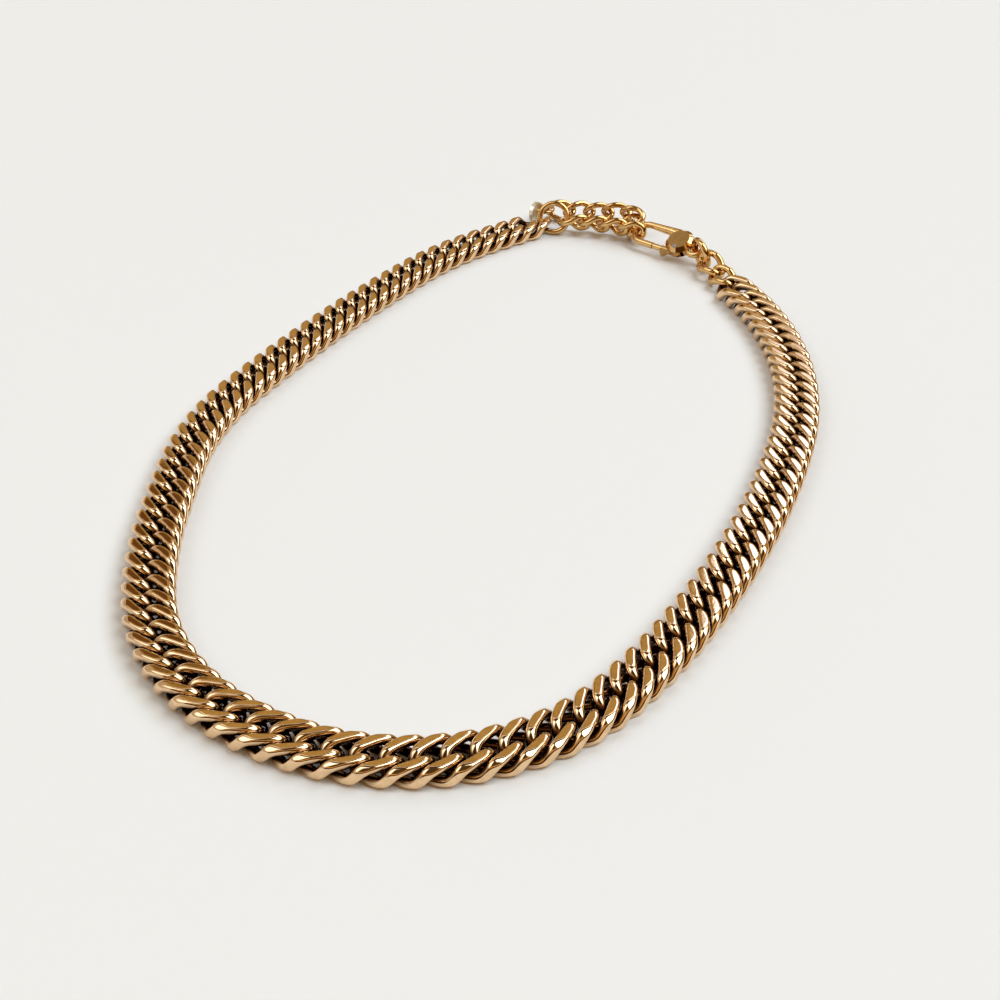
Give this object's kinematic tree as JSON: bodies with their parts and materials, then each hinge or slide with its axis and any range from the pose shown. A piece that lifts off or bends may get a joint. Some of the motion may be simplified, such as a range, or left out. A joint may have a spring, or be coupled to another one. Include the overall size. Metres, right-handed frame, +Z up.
{
  "type": "curb chain necklace",
  "caption": "Heavy double-row curb chain necklace with flattened twisted links, closed by a lobster clasp on a short extender chain with a round tag.",
  "frame": {"origin": "on the table, in the middle of the part's box seen from above", "axes": "+X to the right of the loop, +Y from the front of the loop towards the clasp, +Z up"},
  "size_m": [0.1143, 0.1873, 0.0069],
  "materials": {
    "gold": "polished gold plating with fine wear",
    "finding_gold": "polished gold plating on round wire",
    "clasp_gold": "polished cast gold plating",
    "tag_gold": "mirror polished gold plating",
    "steel": "plain spring steel"
  },
  "bodies": {
    "right_01": {"right_01": "gold"},
    "right_02": {"right_02": "gold"},
    "right_03": {"right_03": "gold"},
    "right_04": {"right_04": "gold"},
    "right_05": {"right_05": "gold"},
    "right_06": {"right_06": "gold"},
    "right_07": {"right_07": "gold"},
    "right_08": {"right_08": "gold"},
    "right_09": {"right_09": "gold"},
    "right_10": {"right_10": "gold"},
    "right_11": {"right_11": "gold"},
    "right_12": {"right_12": "gold"},
    "right_13": {"right_13": "gold"},
    "right_14": {"right_14": "gold"},
    "right_15": {"right_15": "gold"},
    "right_16": {"right_16": "gold"},
    "front_run": {"front_run": "gold"},
    "left_01": {"left_01": "gold"},
    "left_02": {"left_02": "gold"},
    "left_03": {"left_03": "gold"},
    "left_04": {"left_04": "gold"},
    "left_05": {"left_05": "gold"},
    "left_06": {"left_06": "gold"},
    "left_07": {"left_07": "gold"},
    "left_08": {"left_08": "gold"},
    "left_09": {"left_09": "gold"},
    "left_10": {"left_10": "gold"},
    "left_11": {"left_11": "gold"},
    "left_12": {"left_12": "gold"},
    "left_13": {"left_13": "gold"},
    "left_14": {"left_14": "gold"},
    "left_15": {"left_15": "gold"},
    "left_16": {"left_16": "gold"},
    "left_ring": {"left_ring": "finding_gold"},
    "extender_01": {"extender_01": "finding_gold"},
    "extender_02": {"extender_02": "finding_gold"},
    "extender_03": {"extender_03": "finding_gold"},
    "extender_04": {"extender_04": "finding_gold"},
    "extender_05": {"extender_05": "finding_gold"},
    "extender_06": {"extender_06": "finding_gold"},
    "extender_07": {"extender_07": "finding_gold"},
    "extender_08": {"extender_08": "finding_gold"},
    "extender_09": {"extender_09": "finding_gold"},
    "extender_10": {"extender_10": "finding_gold"},
    "drop_ring": {"drop_ring": "finding_gold"},
    "tag": {"tag": "tag_gold"},
    "end_link_2": {"end_link_2": "finding_gold"},
    "end_link_1": {"end_link_1": "finding_gold"},
    "right_ring": {"right_ring": "finding_gold"},
    "clasp": {"clasp_body": "clasp_gold", "clasp_pin": "steel", "gate_spring": "steel"},
    "gate": {"clasp_gate": "clasp_gold"}
  },
  "joints": [
    {"name": "fold_right_16", "type": "hinge", "parent": "front_run", "child": "right_16", "pos_m": [-0.02702, -0.08622, 0.00165], "axis": [-0.8187, 0.5743, 0], "range_deg": [-4, 4]},
    {"name": "fold_left_01", "type": "hinge", "parent": "front_run", "child": "left_01", "pos_m": [-0.03955, -0.07743, 0.00165], "axis": [-0.8187, 0.5743, 0], "range_deg": [-4, 4]},
    {"name": "fold_right_15", "type": "hinge", "parent": "right_16", "child": "right_15", "pos_m": [-0.01597, -0.08937, 0.00165], "axis": [-0.8221, 0.5694, 0], "range_deg": [-4, 4]},
    {"name": "fold_left_02", "type": "hinge", "parent": "left_01", "child": "left_02", "pos_m": [-0.04648, -0.06824, 0.00165], "axis": [-0.8221, 0.5694, 0], "range_deg": [-4, 4]},
    {"name": "fold_right_14", "type": "hinge", "parent": "right_15", "child": "right_14", "pos_m": [-0.0045, -0.08879, 0.00165], "axis": [-0.8281, 0.5606, 0], "range_deg": [-2.5, 2.5]},
    {"name": "fold_left_03", "type": "hinge", "parent": "left_02", "child": "left_03", "pos_m": [-0.05067, -0.05753, 0.00165], "axis": [-0.8281, 0.5606, 0], "range_deg": [-2.5, 2.5]},
    {"name": "fold_right_13", "type": "hinge", "parent": "right_14", "child": "right_13", "pos_m": [0.00617, -0.08453, 0.00165], "axis": [-0.837, 0.5471, 0], "range_deg": [-2.5, 2.5]},
    {"name": "fold_left_04", "type": "hinge", "parent": "left_03", "child": "left_04", "pos_m": [-0.05255, -0.04614, 0.00165], "axis": [-0.837, 0.5471, 0], "range_deg": [-2.5, 2.5]},
    {"name": "fold_right_12", "type": "hinge", "parent": "right_13", "child": "right_12", "pos_m": [0.0149, -0.07706, 0.00165], "axis": [-0.8488, 0.5287, 0], "range_deg": [-4, 4]},
    {"name": "fold_left_05", "type": "hinge", "parent": "left_04", "child": "left_05", "pos_m": [-0.05324, -0.03462, 0.00165], "axis": [-0.8488, 0.5287, 0], "range_deg": [-4, 4]},
    {"name": "fold_right_11", "type": "hinge", "parent": "right_12", "child": "right_11", "pos_m": [0.02191, -0.06789, 0.00165], "axis": [-0.8584, 0.513, 0], "range_deg": [-4, 4]},
    {"name": "fold_left_06", "type": "hinge", "parent": "left_05", "child": "left_06", "pos_m": [-0.05308, -0.02307, 0.00165], "axis": [-0.8584, 0.513, 0], "range_deg": [-4, 4]},
    {"name": "fold_right_10", "type": "hinge", "parent": "right_11", "child": "right_10", "pos_m": [0.02805, -0.05811, 0.00165], "axis": [-0.8654, 0.501, 0], "range_deg": [-4, 4]},
    {"name": "fold_left_07", "type": "hinge", "parent": "left_06", "child": "left_07", "pos_m": [-0.05237, -0.01155, 0.00165], "axis": [-0.8654, 0.501, 0], "range_deg": [-4, 4]},
    {"name": "fold_right_09", "type": "hinge", "parent": "right_10", "child": "right_09", "pos_m": [0.03362, -0.04799, 0.00165], "axis": [-0.8684, 0.4958, 0], "range_deg": [-4, 4]},
    {"name": "fold_left_08", "type": "hinge", "parent": "left_07", "child": "left_08", "pos_m": [-0.04997, -0.00027, 0.00165], "axis": [-0.8684, 0.4958, 0], "range_deg": [-4, 4]},
    {"name": "fold_right_08", "type": "hinge", "parent": "right_09", "child": "right_08", "pos_m": [0.03864, -0.03759, 0.00165], "axis": [-0.869, 0.4949, 0], "range_deg": [-4, 4]},
    {"name": "fold_left_09", "type": "hinge", "parent": "left_08", "child": "left_09", "pos_m": [-0.04577, 0.01048, 0.00165], "axis": [-0.869, 0.4949, 0], "range_deg": [-4, 4]},
    {"name": "fold_right_07", "type": "hinge", "parent": "right_08", "child": "right_07", "pos_m": [0.04312, -0.02695, 0.00165], "axis": [-0.8687, 0.4954, 0], "range_deg": [-4, 4]},
    {"name": "fold_left_10", "type": "hinge", "parent": "left_09", "child": "left_10", "pos_m": [-0.0407, 0.02086, 0.00165], "axis": [-0.8687, 0.4954, 0], "range_deg": [-4, 4]},
    {"name": "fold_right_06", "type": "hinge", "parent": "right_07", "child": "right_06", "pos_m": [0.04703, -0.01608, 0.00165], "axis": [-0.8678, 0.4969, 0], "range_deg": [-4, 4]},
    {"name": "fold_left_11", "type": "hinge", "parent": "left_10", "child": "left_11", "pos_m": [-0.03532, 0.03107, 0.00165], "axis": [-0.8678, 0.4969, 0], "range_deg": [-4, 4]},
    {"name": "fold_right_05", "type": "hinge", "parent": "right_06", "child": "right_05", "pos_m": [0.05027, -0.005, 0.00165], "axis": [-0.8661, 0.5, 0], "range_deg": [-4, 4]},
    {"name": "fold_left_12", "type": "hinge", "parent": "left_11", "child": "left_12", "pos_m": [-0.02961, 0.04111, 0.00165], "axis": [-0.8661, 0.5, 0], "range_deg": [-4, 4]},
    {"name": "fold_right_04", "type": "hinge", "parent": "right_05", "child": "right_04", "pos_m": [0.05232, 0.00636, 0.00165], "axis": [-0.8621, 0.5067, 0], "range_deg": [-4, 4]},
    {"name": "fold_left_13", "type": "hinge", "parent": "left_12", "child": "left_13", "pos_m": [-0.02359, 0.05097, 0.00165], "axis": [-0.8621, 0.5067, 0], "range_deg": [-4, 4]},
    {"name": "fold_right_03", "type": "hinge", "parent": "right_04", "child": "right_03", "pos_m": [0.05304, 0.01788, 0.00165], "axis": [-0.8544, 0.5196, 0], "range_deg": [-4, 4]},
    {"name": "fold_left_14", "type": "hinge", "parent": "left_13", "child": "left_14", "pos_m": [-0.01724, 0.06062, 0.00165], "axis": [-0.8544, 0.5196, 0], "range_deg": [-4, 4]},
    {"name": "fold_right_02", "type": "hinge", "parent": "right_03", "child": "right_02", "pos_m": [0.05243, 0.0294, 0.00165], "axis": [-0.8409, 0.5412, 0], "range_deg": [-4, 4]},
    {"name": "fold_left_15", "type": "hinge", "parent": "left_14", "child": "left_15", "pos_m": [-0.00992, 0.06953, 0.00165], "axis": [-0.8409, 0.5412, 0], "range_deg": [-4, 4]},
    {"name": "fold_right_01", "type": "hinge", "parent": "right_02", "child": "right_01", "pos_m": [0.0503, 0.04075, 0.00165], "axis": [-0.8164, 0.5774, 0], "range_deg": [-4, 4]},
    {"name": "fold_left_16", "type": "hinge", "parent": "left_15", "child": "left_16", "pos_m": [-0.00139, 0.07731, 0.00165], "axis": [-0.8164, 0.5774, 0], "range_deg": [-4, 4]},
    {"name": "fold_left_ring", "type": "hinge", "parent": "left_16", "child": "left_ring", "pos_m": [0.00951, 0.08402, 0.00267], "axis": [-0.7672, 0.6411, 0.0193], "range_deg": [-3, 3]},
    {"name": "fold_end_link_2", "type": "hinge", "parent": "right_01", "child": "end_link_2", "pos_m": [0.04605, 0.05349, 0.00175], "axis": [-0.7672, 0.6411, 0.0193], "range_deg": [-3, 3]},
    {"name": "fold_extender_01", "type": "hinge", "parent": "left_ring", "child": "extender_01", "pos_m": [0.01372, 0.08385, 0.00302], "axis": [-0.7683, 0.6398, 0.022], "range_deg": [-3, 3]},
    {"name": "fold_end_link_1", "type": "hinge", "parent": "end_link_2", "child": "end_link_1", "pos_m": [0.04421, 0.05847, 0.00214], "axis": [-0.7683, 0.6398, 0.022], "range_deg": [-3, 3]},
    {"name": "fold_extender_02", "type": "hinge", "parent": "extender_01", "child": "extender_02", "pos_m": [0.01809, 0.0828, 0.00278], "axis": [-0.7796, 0.6262, -0.0085], "range_deg": [-3, 3]},
    {"name": "fold_right_ring", "type": "hinge", "parent": "end_link_1", "child": "right_ring", "pos_m": [0.04229, 0.06335, 0.00304], "axis": [-0.7796, 0.6262, -0.0085], "range_deg": [-3, 3]},
    {"name": "fold_extender_03", "type": "hinge", "parent": "extender_02", "child": "extender_03", "pos_m": [0.02234, 0.08155, 0.00284], "axis": [-0.7851, 0.6191, -0.0182], "range_deg": [-3, 3]},
    {"name": "fold_clasp", "type": "hinge", "parent": "right_ring", "child": "clasp", "pos_m": [0.04098, 0.06685, 0.00327], "axis": [-0.7851, 0.6191, -0.0182], "range_deg": [-3, 3]},
    {"name": "roll_extender_04", "type": "hinge", "parent": "extender_03", "child": "extender_04", "pos_m": [0.02627, 0.07952, 0.00304], "axis": [0.8234, -0.5657, 0.0448], "range_deg": [-5, 3]},
    {"name": "swing_extender_05", "type": "hinge", "parent": "extender_04", "child": "extender_05", "pos_m": [0.02842, 0.0793, 0.00304], "axis": [0.9605, -0.2784, 0], "range_deg": [-1, 3]},
    {"name": "swing_extender_06", "type": "hinge", "parent": "extender_05", "child": "extender_06", "pos_m": [0.02879, 0.08273, 0.00317], "axis": [0.9962, 0.0866, 0], "range_deg": [0, 20]},
    {"name": "swing_extender_07", "type": "hinge", "parent": "extender_06", "child": "extender_07", "pos_m": [0.02705, 0.08563, 0.00341], "axis": [0.6451, 0.7641, 0], "range_deg": [0, 4]},
    {"name": "swing_extender_08", "type": "hinge", "parent": "extender_07", "child": "extender_08", "pos_m": [0.02349, 0.08782, 0.00292], "axis": [0.3916, 0.9201, 0], "range_deg": [0, 3]},
    {"name": "swing_extender_09", "type": "hinge", "parent": "extender_08", "child": "extender_09", "pos_m": [0.01941, 0.08907, 0.00259], "axis": [0.1935, 0.9811, 0], "range_deg": [0, 20]},
    {"name": "swing_extender_10", "type": "hinge", "parent": "extender_09", "child": "extender_10", "pos_m": [0.01515, 0.08984, 0.00258], "axis": [0.1621, 0.9868, 0], "range_deg": [0, 2]},
    {"name": "swing_drop_ring", "type": "hinge", "parent": "extender_10", "child": "drop_ring", "pos_m": [0.01079, 0.09104, 0.00249], "axis": [0.3561, 0.9344, 0], "range_deg": [-2, 16]},
    {"name": "swing_tag", "type": "hinge", "parent": "drop_ring", "child": "tag", "pos_m": [0.00868, 0.09025, 0.00247], "axis": [-0.7474, 0.6644, 0], "range_deg": [-4, 10]},
    {"name": "gate_swing", "type": "hinge", "parent": "clasp", "child": "gate", "pos_m": [0.03684, 0.06897, 0.00236], "axis": [0.328, 0.3774, -0.866], "range_deg": [0, 26], "stiffness_Nm_per_rad": 0.0004, "springref_deg": -8.59, "deforming": ["gate_spring"]}
  ],
  "couplings": [
    {"joint": "fold_left_01", "follows": "fold_right_16", "ratio": 1},
    {"joint": "fold_left_02", "follows": "fold_right_15", "ratio": 1},
    {"joint": "fold_left_03", "follows": "fold_right_14", "ratio": 1},
    {"joint": "fold_left_04", "follows": "fold_right_13", "ratio": 1},
    {"joint": "fold_left_05", "follows": "fold_right_12", "ratio": 1},
    {"joint": "fold_left_06", "follows": "fold_right_11", "ratio": 1},
    {"joint": "fold_left_07", "follows": "fold_right_10", "ratio": 1},
    {"joint": "fold_left_08", "follows": "fold_right_09", "ratio": 1},
    {"joint": "fold_left_09", "follows": "fold_right_08", "ratio": 1},
    {"joint": "fold_left_10", "follows": "fold_right_07", "ratio": 1},
    {"joint": "fold_left_11", "follows": "fold_right_06", "ratio": 1},
    {"joint": "fold_left_12", "follows": "fold_right_05", "ratio": 1},
    {"joint": "fold_left_13", "follows": "fold_right_04", "ratio": 1},
    {"joint": "fold_left_14", "follows": "fold_right_03", "ratio": 1},
    {"joint": "fold_left_15", "follows": "fold_right_02", "ratio": 1},
    {"joint": "fold_left_16", "follows": "fold_right_01", "ratio": 1},
    {"joint": "fold_end_link_2", "follows": "fold_left_ring", "ratio": 1},
    {"joint": "fold_end_link_1", "follows": "fold_extender_01", "ratio": 1},
    {"joint": "fold_right_ring", "follows": "fold_extender_02", "ratio": 1},
    {"joint": "fold_clasp", "follows": "fold_extender_03", "ratio": 1}
  ]
}
